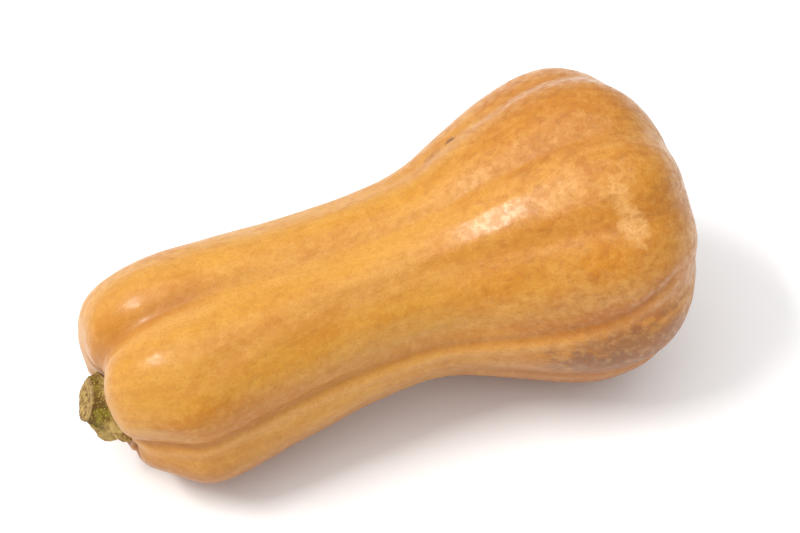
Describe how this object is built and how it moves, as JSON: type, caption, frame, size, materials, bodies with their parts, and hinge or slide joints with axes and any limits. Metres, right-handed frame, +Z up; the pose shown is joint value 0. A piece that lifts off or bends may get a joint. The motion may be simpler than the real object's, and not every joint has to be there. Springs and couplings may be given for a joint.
{
  "type": "butternut squash",
  "caption": "Whole butternut squash lying on its side: a ribbed, golden-orange fruit with a long neck, a round bulb and a short woody stub of stem, as picked.",
  "frame": {"origin": "on the floor, under the middle of the squash's bounding box as it lies on its side", "axes": "+X along the fruit from the stem end to the blossom end, +Y across it, +Z up from the floor"},
  "size_m": [0.2496, 0.1284, 0.1264],
  "materials": {
    "squash_skin": "waxy golden-orange squash rind, satin, with fine streaks along its ribs",
    "dry_stem": "dry, rough, olive-green to tan stem with pale corky spots"
  },
  "bodies": {
    "root": {"fruit": "squash_skin", "stem": "dry_stem"}
  },
  "joints": []
}
